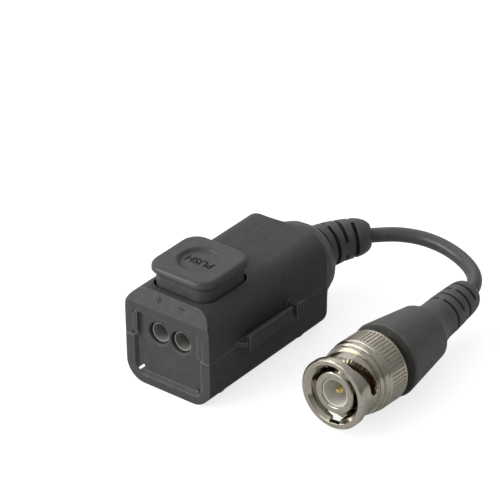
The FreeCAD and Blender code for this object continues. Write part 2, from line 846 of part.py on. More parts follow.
block = box("block_form", -(S.block_wide / 2), S.block_wide / 2, cavity_front, block_back, board_top,
            S.block_top)
post = cylinder("spring_post", S.spring_post_radius, S.spring_post_tall, 0, spring_y, S.block_top)
block_parts = [block, post]
block_tools = []
entry_front = recess_floor + S.entry_recess
for side, word in ((-1, "left"), (1, "right")):
    x = wire_half * side
    block_parts.append(cylinder("entry_collar_" + word, S.entry_outer, cavity_front - entry_front + 0.5, x,
                                entry_front, S.wire_level, TO_REAR))
    block_tools.append(cylinder("entry_bore_" + word, S.entry_bore, shaft_front - entry_front + 1.1, x,
                                entry_front - 1, S.wire_level, TO_REAR))
    block_tools.append(box("block_shaft_" + word, x - S.shaft_wide / 2, x + S.shaft_wide / 2,
                           shaft_front, shaft_back, S.shaft_floor, S.block_top + 1))
    near, far = S.contact_half + S.contact_gap, S.contact_reach + S.contact_gap
    inner, outer = (x - near, x + far) if side > 0 else (x - far, x + near)
    slot_front = shaft_front - S.contact_deep - S.contact_gap
    block_tools.append(box("contact_slot_" + word, inner, outer, slot_front, shaft_front + 0.1,
                           contact_level - S.contact_gap, S.block_top + 1))
    near = S.contact_reach - S.contact_thick - S.contact_gap
    inner, outer = (x + near, x + far) if side > 0 else (x - far, x - near)
    block_tools.append(box("tail_slot_" + word, inner, outer, slot_front, shaft_front + 0.1,
                           board_top - 1, S.block_top + 1))
keep("terminal_block", cut("terminal_block", fuse("block_whole", block_parts), block_tools))


# Clamp springs: a folded leaf that presses the wire up against its contact

def leaf_profile():
    floor = S.shaft_floor.number + S.leaf_thick.number / 2
    low, high = shaft_front.number, shaft_back.number
    points = [(low + 0.2, floor), (high - 1.0, floor), (high - 0.35, floor + 0.65),
              (high - 0.6, floor + 1.7), (low + 0.3, S.wire_level.number + S.leaf_rise.number)]
    return [Vector(0, y, z) for y, z in points]


def folded_strip(points, thick, wide):
    """Strip of constant thickness folded along a line of points in the YZ plane."""
    left, right = [], []
    count = len(points)
    for i, point in enumerate(points):
        before = points[max(i - 1, 0)]
        after = points[min(i + 1, count - 1)]
        one = (point - before) if i else (after - point)
        two = (after - point) if i < count - 1 else one
        one.normalize()
        two.normalize()
        normal = Vector(0, -one.z - two.z, one.y + two.y)
        scale = (thick / 2) * 2 / (1 + one.dot(two))
        left.append(point + normal * (scale / 2))
        right.append(point - normal * (scale / 2))
    ring = left + right[::-1]
    face = Part.Face(Part.makePolygon(ring + [ring[0]]))
    return face.extrude(Vector(wide, 0, 0))


for side, word in ((-1, "left"), (1, "right")):
    strip = folded_strip(leaf_profile(), S.leaf_thick.number, S.leaf_wide.number)
    keep("clamp_spring_" + word, shaped("clamp_spring_" + word, strip, Placement(
        Vector(side * wire_half.number - S.leaf_wide.number / 2, 0, 0), Rotation())))

# Contacts: a plate over each wire bore with a tail down to the board

for side, word in ((-1, "left"), (1, "right")):
    x = wire_half * side
    far = S.contact_reach
    near = far - S.contact_thick
    inner, outer = (x - S.contact_half, x + far) if side > 0 else (x - far, x + S.contact_half)
    tail_in, tail_out = (x + near, x + far) if side > 0 else (x - far, x - near)
    top = contact_level + S.contact_thick
    plate = box("contact_plate_" + word, inner, outer, shaft_front - S.contact_deep, shaft_front,
                contact_level, top)
    tail = box("contact_tail_" + word, tail_in, tail_out, shaft_front - S.contact_deep, shaft_front,
               board_top, top)
    keep("contact_" + word, fuse("contact_" + word, [plate, tail]))

# Circuit board on its ribs, with the transformer and the small parts

keep("circuit_board", box("circuit_board", -board_half, board_half, board_front, board_back,
                          S.board_bottom, board_top))
core_y = block_back + S.core_from_block
core = turned("toroid_core", [(S.core_inner, 0), (S.core_outer, 0), (S.core_outer, S.core_tall),
                              (S.core_inner, S.core_tall)])
put(core, 0, core_y, S.core_bottom)
keep("toroid_core", core)


def winding_turn(angle):
    """One turn of wire round the core's section, at an angle about the core."""
    wire = S.winding_wire.number / 2
    gap = wire + S.winding_gap.number
    inside, outside = S.core_inner.number - gap, S.core_outer.number + gap
    low, high = S.core_bottom.number - gap, S.core_bottom.number + S.core_tall.number + gap
    soft = wire
    points = []
    for r, z, turn_r, turn_z in ((inside, low, 1, 1), (outside, low, -1, 1), (outside, high, -1, -1),
                                 (inside, high, 1, -1)):
        ends = [Vector(r, 0, z + turn_z * soft), Vector(r + turn_r * soft, 0, z)]
        points += ends if turn_r * turn_z > 0 else ends[::-1]
    turn = wire_form(points, wire, True)
    turn.rotate(Vector(), Vector(0, 0, 1), angle)
    return turn


for word, middle in (("near", -90.0), ("far", 90.0)):
    count = int(S.winding_turns.number)
    turns = []
    for i in range(count):
        turns.append(winding_turn(middle + S.winding_step.number * (i - (count - 1) / 2)))
    keep("winding_" + word, shaped("winding_" + word, Part.makeCompound(turns), Placement(
        Vector(0, core_y.number, 0), Rotation())))

film_x = -board_half + S.edge_inset
film_y = core_y - S.film_long / 2
keep("film_capacitor", rounded_block("film_capacitor", 0.3, 2, film_x, film_x + S.film_wide, film_y,
                                     film_y + S.film_long, board_top, board_top + S.film_tall))
resistor_x = board_half - S.edge_inset - S.resistor_radius
resistor_y = core_y - S.resistor_long / 2
resistor_z = board_top + S.resistor_radius + S.resistor_lift
resistor_end = resistor_y + S.resistor_long
resistor_parts = [cylinder("resistor_body", S.resistor_radius * 0.86, S.resistor_long, resistor_x,
                           resistor_y, resistor_z, TO_REAR)]
for i, y in enumerate((resistor_y, resistor_end - S.resistor_cap_long)):
    resistor_parts.append(cylinder("resistor_end_%d" % i, S.resistor_radius, S.resistor_cap_long,
                                   resistor_x, y, resistor_z, TO_REAR))
keep("resistor", fuse("resistor", resistor_parts))
bend = S.lead_radius * 2
lead_parts = []
for i, y in enumerate((resistor_y - bend, resistor_end + bend)):
    lead_parts.append(cylinder("resistor_leg_%d" % i, S.lead_radius,
                               resistor_z - board_top + S.lead_radius, resistor_x, y, board_top))
for i, y in enumerate((resistor_y - bend, resistor_end)):
    lead_parts.append(cylinder("resistor_wire_%d" % i, S.lead_radius * 0.8, bend, resistor_x, y,
                               resistor_z, TO_REAR))
keep("resistor_leads", fuse("resistor_leads", lead_parts))
disc_x = board_half / 2 + S.edge_inset
for word, x, radius in (("surge_absorber", -disc_x, S.disc_radius),
                        ("disc_capacitor", disc_x, S.disc_radius * 0.82)):
    level = board_top + S.disc_lift + radius
    disc_y = board_back - S.disc_inset
    soft = S.disc_soft
    disc = turned(word + "_disc", [(0, 0), (radius - soft, 0), (radius, soft),
                                   (radius, S.disc_thick - soft),
                                   (radius - soft, S.disc_thick), (0, S.disc_thick)])
    disc.Placement = Placement(Vector(), TO_REAR)
    put(disc, x, disc_y, level)
    stems = []
    for i, side in enumerate((-1, 1)):
        stems.append(cylinder(word + "_stem_%d" % i, S.lead_radius, S.disc_lift + radius / 2,
                              x + S.stem_shift * side, disc_y + S.disc_thick / 2, board_top))
    keep(word, fuse(word, [disc] + stems))

# Stripped end of the coax inside the housing, its core wire and its braid

inner_y = cavity_back - S.boot_flange_thick
cable_radius = S.cable_diameter / 2
tail_long = 1.2
jacket = cylinder("tail_jacket", cable_radius, tail_long, 0, inner_y - tail_long, S.boot_level, TO_REAR)
braid = cylinder("tail_braid", cable_radius - 0.3, 0.8, 0, inner_y - tail_long - 0.8, S.boot_level,
                 TO_REAR)
keep("coax_tail", fuse("coax_tail", [jacket, braid]))
dielectric = cylinder("tail_core", 0.75, 0.8, 0, inner_y - tail_long - 1.6, S.boot_level, TO_REAR)
keep("coax_core", dielectric)
wire_y = inner_y - tail_long - 2.0
core_wire = [cylinder("core_wire_run", S.lead_radius, 0.4, 0, wire_y, S.boot_level, TO_REAR),
             cylinder("core_wire_drop", S.lead_radius, S.boot_level - board_top, 0, wire_y, board_top)]
elbow = doc.addObject("Part::Sphere", "core_wire_elbow")
bind(elbow, "Radius", S.lead_radius)
put(elbow, 0, wire_y, S.boot_level)
keep("core_wire", fuse("core_wire", core_wire + [elbow]))
braid_low = S.boot_level - cable_radius + 0.3
keep("braid_wire", cylinder("braid_wire", 0.35, braid_low - board_top, 0, inner_y - tail_long - 0.4,
                            board_top))


# Paths of straight runs and tangent arcs

def path_edges(points, share):
    """Straight runs joined by arcs whose tangent length is a share of the shorter run."""
    edges = []
    radii = []
    start = points[0]
    for i in range(1, len(points) - 1):
        before, corner, after = points[i - 1], points[i], points[i + 1]
        one, two = corner - before, after - corner
        reach = share * min(one.Length, two.Length)
        half = one.getAngle(two) / 2
        radii.append(reach / math.tan(half))
        one.normalize()
        two.normalize()
        a, b = corner - one * reach, corner + two * reach
        middle = (a + b) / 2
        to_corner = corner - middle
        sag = radii[-1] * (1 - math.cos(half))
        to_corner.normalize()
        edges.append(Part.LineSegment(start, a).toShape())
        edges.append(Part.Arc(a, middle + to_corner * sag, b).toShape())
        start = b
    edges.append(Part.LineSegment(start, points[-1]).toShape())
    return edges, radii


def tube(edges, radius):
    """Round tube along joined edges, square to the path at both ends."""
    path = Part.Wire(edges)
    first = edges[0]
    start = first.valueAt(first.FirstParameter)
    heading = first.tangentAt(first.FirstParameter)
    circle = Part.Wire([Part.makeCircle(radius, start, heading)])
    return path.makePipeShell([circle], True, True)


# Rear strain relief: flange and collar held between the shells, dome, and a slotted tail

def bend_axis(length, straight, radius, angle):
    """Point and heading on a line that runs along +Y and then turns toward +X."""
    if length <= straight:
        return Vector(0, length, 0), Vector(0, 1, 0)
    turn = min((length - straight) / radius, math.radians(angle))
    rest = length - straight - turn * radius
    heading = Vector(math.sin(turn), math.cos(turn), 0)
    bend_end = Vector(radius * (1 - math.cos(turn)), straight + radius * math.sin(turn), 0)
    return bend_end + heading * rest, heading


dome_start = cone_end.number
boot_level = S.boot_level.number
boot_straight = S.boot_straight.number
boot_bend = S.boot_bend_radius.number
boot_angle = S.boot_bend_angle.number


def boot_axis(length):
    """Rear strain relief's axis, measured from the housing's cone end."""
    point, heading = bend_axis(length, boot_straight, boot_bend, boot_angle)
    return point + Vector(0, dome_start, boot_level), heading


def skin(stations, axis, straight=False):
    """Solid through circles given as (length, radius) along an axis, with straight or smooth walls."""
    rings = []
    for length, radius in stations:
        point, heading = axis(length)
        rings.append(Part.Wire([Part.makeCircle(radius, point, heading)]))
    return Part.makeLoft(rings, True, straight)


def slot_rings(axis, first, pitch, count, wide, core, reach, sides_first):
    """C-shaped slots: grooves with two opposite bridges, at the sides and at top and bottom in turn."""
    tools = []
    for i in range(count):
        point, heading = axis(first + pitch * i)
        at_sides = (i % 2 == 0) == sides_first
        bridge = (S.side_bridge if at_sides else S.top_bridge).number
        middle = Part.makeCylinder(reach, wide, Vector(0, 0, -wide / 2))
        middle = middle.cut(Part.makeCylinder(core, wide + 1, Vector(0, 0, -wide / 2 - 0.5)))
        bar = Part.makeBox(2 * reach + 2, 2 * bridge, wide + 1,
                           Vector(-reach - 1, -bridge, -wide / 2 - 0.5))
        if not at_sides:
            bar.rotate(Vector(), Vector(0, 0, 1), 90)
        tool = middle.cut(bar)
        across = Vector(0, 0, 1).cross(heading)
        across.normalize()
        up = heading.cross(across)
        frame = FreeCAD.Matrix(across.x, up.x, heading.x, point.x, across.y, up.y, heading.y, point.y,
                               across.z, up.z, heading.z, point.z, 0, 0, 0, 1)
        tools.append(tool.transformed(frame))
    return tools


dome = turned("dome_form", [
    (0, 0), (S.cone_end_radius, 0), (S.cone_end_radius - 0.2, S.dome_long * 0.3),
    (S.cone_end_radius - 0.75, S.dome_long * 0.65), (S.dome_end_radius, S.dome_long), (0, S.dome_long)])
doc.recompute()
dome_shape = dome.Shape.copy()
dome_shape.Placement = Placement(Vector(0, dome_start, boot_level), TO_REAR)
boot_long = boot_straight + boot_bend * math.radians(boot_angle)
root, tip = S.boot_root_radius.number, S.boot_tip_radius.number
boot_stations = [(3.0, root), (5.0, root - 0.08), (7.6, root - 0.25), (10.2, root - 0.47),
                 (12.8, root - 0.72),
                 (boot_long - 2.7, tip), (boot_long - 1.3, tip - 0.42), (boot_long - 0.45, tip - 0.95),
                 (boot_long, tip - 1.5)]
tail_shape = skin(boot_stations, boot_axis)
collar = Part.makeCylinder(S.boot_collar_radius.number, S.rear_wall.number + S.cone_long.number + 0.5,
                           Vector(0, cavity_back.number, boot_level), Vector(0, 1, 0))
inner_flange = Part.makeCylinder(S.boot_flange_radius.number, S.boot_flange_thick.number,
                                 Vector(0, inner_y.number, boot_level), Vector(0, 1, 0))
boot_shape = dome_shape.multiFuse([tail_shape, collar, inner_flange])
first_slot = S.dome_long.number + S.boot_slot_first.number - S.boot_slot_wide.number / 2
boot_shape = boot_shape.cut(Part.makeCompound(slot_rings(
    boot_axis, first_slot, S.boot_slot_pitch.number, 4, S.boot_slot_wide.number, S.boot_slot_core.number,
    S.boot_root_radius.number + 0.6, True)))
exit_point, exit_heading = boot_axis(boot_long)
seat = S.cable_seat_depth.number
boot_shape = boot_shape.cut(Part.makeCylinder(
    cable_radius.number + S.cable_seat_gap.number, seat + 1, exit_point - exit_heading * seat,
    exit_heading))
keep("cable_boot", shaped("cable_boot", boot_shape.removeSplitter()))

# Plug frame: local Z runs along the plug's axis from the ring's front face to the rear

pitch = math.radians(S.plug_pitch.number)
plug_origin = Vector(S.plug_x.number, S.plug_y.number, S.plug_z.number)
plug_turn = Rotation(Vector(1, 0, 0), -90 - S.plug_pitch.number)
plug_place = Placement(plug_origin, plug_turn)


def on_plug(item):
    """Set a piece on the plug's axis."""
    item.Placement = Placement(Vector(), plug_turn)
    put(item, S.plug_x, S.plug_y, S.plug_z)
    return item


def plug_axis(length):
    """Point and heading along the plug and its bent strain relief."""
    start, end = S.relief_bend_start.number, S.relief_bend_end.number
    radius = S.relief_bend_radius.number
    rear = plug_turn.multVec(Vector(0, 0, 1))
    up = plug_turn.multVec(Vector(0, -1, 0))
    lift = math.radians(S.relief_bend_side.number)
    side = Vector(-math.cos(lift), 0, 0) + up * math.sin(lift)
    if length <= start:
        return plug_origin + rear * length, rear
    turn = (min(length, end) - start) / radius
    along = start + radius * math.sin(turn)
    point = plug_origin + rear * along + side * (radius * (1 - math.cos(turn)))
    heading = rear * math.cos(turn) + side * math.sin(turn)
    if length > end:
        point = point + heading * (length - end)
    return point, heading


# Coupling ring: turned form, straight knurl, two helical bayonet slots and their lug notches

ring = turned("coupling_ring", [
    (S.ring_mouth, 0), (S.collar_radius - 0.3, 0), (S.collar_radius, 0.3),
    (S.collar_radius, S.collar_long),
    (S.sleeve_radius, S.collar_long), (S.sleeve_radius, S.sleeve_end), (S.shoulder_radius, S.sleeve_end),
    (S.shoulder_radius, S.shoulder_end), (S.step_radius, S.shoulder_end), (S.step_radius, S.step_end),
    (S.knurl_radius - 0.15, S.step_end), (S.knurl_radius, S.step_end + 0.15),
    (S.knurl_radius, S.knurl_end - 0.15),
    (S.knurl_radius - 0.15, S.knurl_end), (S.chamber_radius, S.knurl_end), (S.chamber_radius, S.lip_back),
    (S.body_front_radius + S.turn_gap, S.lip_back), (S.body_front_radius + S.turn_gap, S.lip_front),
    (S.ring_bore, S.lip_front), (S.ring_bore, S.ring_mouth - S.ring_bore)])
half_groove = 0.2
knurl = pocket_box(ring, "knurl_groove", "XY_Plane", [
    (S.knurl_radius - S.knurl_depth, -0.04), (S.knurl_radius + 0.1, -half_groove),
    (S.knurl_radius + 0.1, half_groove), (S.knurl_radius - S.knurl_depth, 0.04)],
    S.knurl_end - 0.55, S.knurl_end - S.step_end - 1.1)
polar(ring, "knurl_pattern", knurl, S.knurl_count)


def helical_slot(start_angle):
    """Cutter for one bayonet slot: a row of overlapping round cutters along a helix."""
    radius = S.slot_wide.number / 2
    reach = S.sleeve_radius.number + 0.6
    inner = S.ring_bore.number - 0.8
    cutters = []
    steps = 12
    for i in range(steps + 1):
        share = i / steps
        rise = share * share * (3 - 2 * share)
        level = S.slot_start_level.number + rise * (S.slot_end_level.number - S.slot_start_level.number)
        angle = math.radians(start_angle + share * S.slot_sweep.number)
        out = Vector(math.cos(angle), math.sin(angle), 0)
        cutters.append(Part.makeCylinder(radius, reach - inner, out * inner + Vector(0, 0, level), out))
    return cutters


def ring_slots(item):
    shape = item.Shape.copy()
    shape.Placement = Placement()
    for side in (0, 180):
        swept = helical_slot(-S.slot_start_angle.number + side)
        swept = swept[0].multiFuse(swept[1:])
        shape = shape.cut(swept)
        notch = Part.makeBox(S.lug_notch_radius.number, S.lug_notch_wide.number, S.slot_start_level.number,
                             Vector(0, -S.lug_notch_wide.number / 2, -0.01))
        notch.rotate(Vector(), Vector(0, 0, 1), -S.slot_start_angle.number + side)
        shape = shape.cut(notch)
    return shape


slotted = shaped("slotted_ring", ring_slots(ring))
keep("coupling_ring", on_plug(slotted))
ring.Label = "ring_form"

# Plug body, retaining clip, wave washer and gasket

body_piece = turned("plug_body", [
    (S.contact_outer, S.body_front), (S.body_front_radius, S.body_front),
    (S.body_front_radius, S.body_shoulder),
    (S.body_radius, S.body_shoulder), (S.body_radius, S.body_back), (S.ferrule_radius, S.body_back),
    (S.ferrule_radius, S.ferrule_front), (1.2, S.ferrule_front), (1.2, S.contact_end),
    (S.contact_outer, S.contact_end)])
keep("plug_body", on_plug(body_piece))
clip_back = S.lip_front - 0.1
clip = turned("retaining_clip", [
    (S.body_front_radius, clip_back - S.clip_thick), (S.clip_outer, clip_back - S.clip_thick),
    (S.clip_outer, clip_back), (S.body_front_radius, clip_back)])
keep("retaining_clip", on_plug(clip))
gasket_back = S.body_front
gasket = turned("gasket", [
    (S.contact_outer, S.gasket_front), (S.gasket_outer - 0.15, S.gasket_front),
    (S.gasket_outer, S.gasket_front + 0.15), (S.gasket_outer, gasket_back),
    (S.contact_outer, gasket_back)])
keep("gasket", on_plug(gasket))


def wave_washer():
    """Thin ring whose level rises and falls three times round."""
    inner, outer = S.body_front_radius.number + 0.15, S.washer_outer.number
    thick, wave = S.washer_thick.number, S.washer_wave.number
    middle = (S.lip_back.number + S.body_shoulder.number) / 2 - thick / 2
    count = 24
    rings = []
    for radius, lift in ((inner, 0), (outer, 0), (outer, thick), (inner, thick)):
        points = []
        for i in range(count):
            angle = 2 * math.pi * i / count
            level = middle + lift + wave / 2 * math.sin(3 * angle)
            points.append(Vector(radius * math.cos(angle), radius * math.sin(angle), level))
        curve = Part.BSplineCurve()
        curve.interpolate(points, PeriodicFlag=True)
        rings.append(Part.Wire([curve.toShape()]))
    faces = []
    for i in range(4):
        faces += Part.makeRuledSurface(rings[i], rings[(i + 1) % 4]).Faces
    solid = Part.Solid(Part.Shell(faces))
    solid.fix(1e-4, 1e-4, 1e-4)
    if solid.Volume < 0:
        solid.reverse()
    return solid


keep("wave_washer", on_plug(shaped("wave_washer", wave_washer())))

# Outer contact, insulator, pin and crimp ferrule

contact = turned("outer_contact", [
    (S.contact_inner + 0.15, S.contact_recess), (S.contact_outer - 0.2, S.contact_recess),
    (S.contact_outer, S.contact_recess + 0.25), (S.contact_outer, S.contact_end),
    (S.contact_inner, S.contact_end), (S.contact_inner, S.contact_recess + 0.15)])
keep("outer_contact", on_plug(contact))
insulator = turned("insulator", [
    (S.insulator_bore, S.insulator_recess), (S.contact_inner, S.insulator_recess),
    (S.contact_inner, S.contact_end),
    (S.pin_radius, S.contact_end), (S.pin_radius, S.insulator_floor),
    (S.insulator_bore, S.insulator_floor)])
keep("insulator", on_plug(insulator))
pin = turned("center_pin", [
    (0, S.pin_front), (S.pin_radius * 0.45, S.pin_front), (S.pin_radius, S.pin_front + 0.8),
    (S.pin_radius, S.contact_end), (0.9, S.contact_end), (0.9, S.pin_back), (0, S.pin_back)])
keep("center_pin", on_plug(pin))
ferrule = turned("crimp_ferrule", [
    (S.ferrule_inner, S.ferrule_front), (S.ferrule_radius, S.ferrule_front),
    (S.ferrule_radius, S.ferrule_end),
    (S.ferrule_inner, S.ferrule_end)])
keep("crimp_ferrule", on_plug(ferrule))

# Plug strain relief: tapered body on the plug body, waist and slotted tail

relief_front = S.relief_front.number
relief_end = S.relief_end.number
nose, crease = S.relief_nose_radius.number, S.relief_crease.number
crease_radius, waist = S.relief_crease_radius.number, S.relief_waist.number
waist_radius = S.relief_waist_radius.number
hollow = (crease_radius - waist_radius) / 3
nose_stations = [(relief_front, nose - 0.25), (relief_front + 0.35, nose), (crease, crease_radius)]
waist_stations = [(crease, crease_radius), (crease + 1.0, waist_radius + 1.85 * hollow),
                  (crease + 2.4, waist_radius + 0.7 * hollow), (waist, waist_radius)]
tail_stations = [(waist, waist_radius), (waist + 4.0, waist_radius - 0.2),
                 (waist + 8.0, waist_radius - 0.45),
                 (relief_end - 2.0, waist_radius - 0.65), (relief_end - 0.8, waist_radius - 0.98),
                 (relief_end, waist_radius - 1.75)]
relief = skin(nose_stations, plug_axis, True).multiFuse([
    skin(waist_stations, plug_axis), skin(tail_stations, plug_axis)])
socket = Part.makeCylinder(S.body_radius.number, S.relief_seat.number + 1, Vector(0, 0, relief_front - 1))
socket = socket.fuse(Part.makeCylinder(S.ferrule_radius.number,
                                       S.ferrule_end.number - S.body_back.number + 0.5,
                                       Vector(0, 0, S.body_back.number - 0.5)))
socket.Placement = plug_place
relief = relief.cut(socket)
relief = relief.cut(Part.makeCompound(slot_rings(
    plug_axis, S.relief_slot_first.number, S.relief_slot_pitch.number, 4, S.relief_slot_wide.number,
    S.relief_slot_core.number, waist_radius + 0.6, False)))
entry_point, entry_heading = plug_axis(relief_end)
relief = relief.cut(Part.makeCylinder(
    cable_radius.number + S.cable_seat_gap.number, seat + 1, entry_point - entry_heading * seat,
    entry_heading))
keep("plug_boot", shaped("plug_boot", relief.removeSplitter()))

# Coax lead: a short loop from the rear strain relief round to the plug

start_point = exit_point - exit_heading * seat
end_point = entry_point - entry_heading * seat
ROUTE = [
    (7.54, 38.72, 9.30), (10.30, 40.62, 9.20), (13.40, 41.85, 9.02), (16.60, 42.20, 8.80),
    (19.80, 41.92, 8.54),
    (22.82, 41.10, 8.26), (25.52, 39.84, 7.98), (27.66, 38.25, 7.70), (29.02, 36.44, 7.46),
]
route = [start_point] + [Vector(*point) for point in ROUTE]
route += [entry_point + entry_heading * 1.25, end_point]
lead_edges, lead_radii = path_edges(route, 0.45)
lead = tube(lead_edges, cable_radius.number)
lead_long = sum(edge.Length for edge in lead_edges)
keep("coax_cable", shaped("coax_cable", lead))
print("coax route, mm:", [tuple(round(v, 3) for v in point) for point in route])
print("coax arc radii, mm:", [round(radius, 2) for radius in lead_radii])
print("coax length %.2f, volume %.2f, section x length %.2f" % (
    lead_long, lead.Volume, lead_long * math.pi * cable_radius.number ** 2))

# Check every object, then write one file per sub-part

doc.recompute()
problems = []
for item in doc.Objects:
    if "Invalid" in item.State or "Error" in item.State:
        problems.append("%s: %s" % (item.Name, item.State))
for label, item in nodes.items():
    if item.Shape.isNull() or not item.Shape.isValid():
        problems.append("%s: shape is null or not valid" % label)
if problems:
    raise RuntimeError("; ".join(problems))
for label, item in nodes.items():
    item.Shape.exportStep("parts/%s.step" % label)
    print("%-18s solids %d, volume %.2f" % (label, len(item.Shape.Solids), item.Shape.Volume))
print("sub-parts:", len(nodes))
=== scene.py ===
import bmesh
import bpy
import math
from mathutils import Matrix, Vector


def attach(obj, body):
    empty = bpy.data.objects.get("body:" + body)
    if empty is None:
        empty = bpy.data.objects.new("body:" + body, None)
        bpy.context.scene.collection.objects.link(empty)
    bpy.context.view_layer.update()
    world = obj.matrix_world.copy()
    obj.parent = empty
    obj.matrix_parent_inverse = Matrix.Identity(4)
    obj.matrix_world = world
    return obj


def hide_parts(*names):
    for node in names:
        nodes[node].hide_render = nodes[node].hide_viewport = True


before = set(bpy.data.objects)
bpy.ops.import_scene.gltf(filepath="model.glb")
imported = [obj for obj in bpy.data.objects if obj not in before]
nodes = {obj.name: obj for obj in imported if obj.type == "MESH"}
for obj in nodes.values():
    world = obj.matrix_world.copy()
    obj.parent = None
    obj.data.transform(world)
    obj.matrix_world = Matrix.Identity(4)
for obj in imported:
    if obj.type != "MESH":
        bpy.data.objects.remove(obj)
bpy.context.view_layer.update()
scene = bpy.context.scene
MM = 0.001


# Camera at the photograph's view

VIEW_ANGLES = (38.474, 30.559, -0.844)
VIEW_PLACE = (289.891, -358.069, 293.385)
LENS, SENSOR = 216, 36


def camera():
    """Long lens that looks down on the wire entries and the plug from the right."""
    azimuth, elevation, roll = (math.radians(angle) for angle in VIEW_ANGLES)
    back = Vector((math.sin(azimuth) * math.cos(elevation), -math.cos(azimuth) * math.cos(elevation),
                   math.sin(elevation)))
    right = Vector((math.cos(azimuth), math.sin(azimuth), 0))
    up = back.cross(right)
    turned_right = right * math.cos(roll) + up * math.sin(roll)
    turned_up = up * math.cos(roll) - right * math.sin(roll)
    data = bpy.data.cameras.new("view")
    data.sensor_width = SENSOR
    data.lens = LENS
    data.clip_start = 0.01
    data.clip_end = 20
    item = bpy.data.objects.new("view", data)
    scene.collection.objects.link(item)
    turn = Matrix((turned_right, turned_up, back)).transposed().to_4x4()
    item.matrix_world = Matrix.Translation(Vector(VIEW_PLACE) * MM) @ turn
    scene.camera = item


camera()


# Shader arithmetic

def sum_of(tree, parts):
    """Sum of products, each a pair of sockets or numbers."""
    total = None
    for pair in parts:
        node = tree.nodes.new("ShaderNodeMath")
        node.operation = "MULTIPLY_ADD"
        for socket, value in zip(node.inputs, (*pair, total or 0.0)):
            if isinstance(value, (int, float)):
                socket.default_value = value
            else:
                tree.links.new(value, socket)
        total = node.outputs[0]
    return total


def spread(tree, source, start, end, low, high, kind="LINEAR"):
    """Value between low and high as the source goes from start to end."""
    node = tree.nodes.new("ShaderNodeMapRange")
    node.interpolation_type = kind
    tree.links.new(source, node.inputs["Value"])
    for name, value in (("From Min", start), ("From Max", end), ("To Min", low), ("To Max", high)):
        if isinstance(value, (int, float)):
            node.inputs[name].default_value = value
        else:
            tree.links.new(value, node.inputs[name])
    return node.outputs["Result"]


# Materials

class Paint:
    """A node material built around one principled shader."""

    def __init__(self, name, colour, rough, metal=0.0):
        self.material = bpy.data.materials.new(name)
        self.material.use_nodes = True
        self.tree = self.material.node_tree
        self.shader = self.tree.nodes["Principled BSDF"]
        self.shader.inputs["Base Color"].default_value = (*colour, 1)
        self.shader.inputs["Roughness"].default_value = rough
        self.shader.inputs["Metallic"].default_value = metal
        self.place = self.add("ShaderNodeTexCoord").outputs["Object"]
        self.soft_normal = self.normal = None

    def add(self, kind, **settings):
        node = self.tree.nodes.new(kind)
        for key, value in settings.items():
            if key in node.inputs:
                node.inputs[key].default_value = value
            else:
                setattr(node, key, value)
        return node

    def link(self, source, target):
        self.tree.links.new(source, target)

    def noise(self, scale, detail=3.0, rough=0.5):
        node = self.add("ShaderNodeTexNoise", Scale=scale, Detail=detail, Roughness=rough)
        self.link(self.place, node.inputs["Vector"])
        return node.outputs["Fac"]

    def ramp(self, source, low, high, start=0.35, end=0.65):
        node = self.add("ShaderNodeValToRGB")
        for stop, position, colour in zip(node.color_ramp.elements, (start, end), (low, high)):
            stop.position = position
            stop.color = (*colour, 1)
        self.link(source, node.inputs["Fac"])
        return node.outputs["Color"]

    def mottle(self, low, high, scale, detail=3.0):
        colour = self.ramp(self.noise(scale, detail), low, high)
        self.link(colour, self.shader.inputs["Base Color"])
        return colour

    def paint_edge_highlights(self, colour, gain, reach=0.25):
        """Painted highlight on edges: brighten the colour where the softened normal leaves the face's
        own normal.
        """
        level = self.add("ShaderNodeVectorMath", operation="DOT_PRODUCT")
        self.link(self.soft_normal, level.inputs[0])
        self.link(self.add("ShaderNodeNewGeometry").outputs["Normal"], level.inputs[1])
        share = spread(self.tree, level.outputs["Value"], 1.0, 1.0 - reach, 1.0, gain)
        bright = self.add("ShaderNodeVectorMath", operation="SCALE")
        self.link(colour, bright.inputs[0])
        self.link(share, bright.inputs["Scale"])
        self.link(bright.outputs["Vector"], self.shader.inputs["Base Color"])

    def vary_rough(self, low, high, scale, start=0.3, end=0.7):
        rough = spread(self.tree, self.noise(scale), start, end, low, high)
        self.link(rough, self.shader.inputs["Roughness"])

    def bump(self, height, strength, distance):
        node = self.add("ShaderNodeBump", Strength=strength, Distance=distance)
        self.link(height, node.inputs["Height"])
        if self.normal:
            self.link(self.normal, node.inputs["Normal"])
        self.normal = node.outputs["Normal"]
        self.link(self.normal, self.shader.inputs["Normal"])

    def soft_edges(self, radius):
        node = self.add("ShaderNodeBevel", samples=6)
        node.inputs["Radius"].default_value = radius
        self.soft_normal = self.normal = node.outputs["Normal"]
        self.link(self.normal, self.shader.inputs["Normal"])


# Noise scales per metre: colour patches, worn patches, surface grain
PLASTIC_PATCHES, PLASTIC_WEAR, PLASTIC_GRAIN = 700, 900, 5200
METAL_PATCHES, METAL_WEAR, METAL_GRAIN = 900, 1600, 7000
PATCH_DETAIL = 5


def moulded(name, low, high, rough, grain=0.05, edge=0.2, scale=PLASTIC_GRAIN, sheen=0.2, edge_highlight_gain=1.0):
    """Moulded plastic with a fine spark-eroded grain and, with a gain, painted highlights on its edges.
    """
    paint = Paint(name, low, rough)
    paint.shader.inputs["Specular IOR Level"].default_value = sheen
    paint.soft_edges(edge * MM)
    colour = paint.mottle(low, high, PLASTIC_PATCHES, PATCH_DETAIL)
    # With a gain, the edges get a painted highlight: their colour is brightened there.
    if edge_highlight_gain != 1.0:
        paint.paint_edge_highlights(colour, edge_highlight_gain)
    paint.vary_rough(rough - 0.05, rough + 0.07, PLASTIC_WEAR)
    paint.bump(paint.noise(scale, 4, 0.6), 0.3, grain * MM)
    return paint


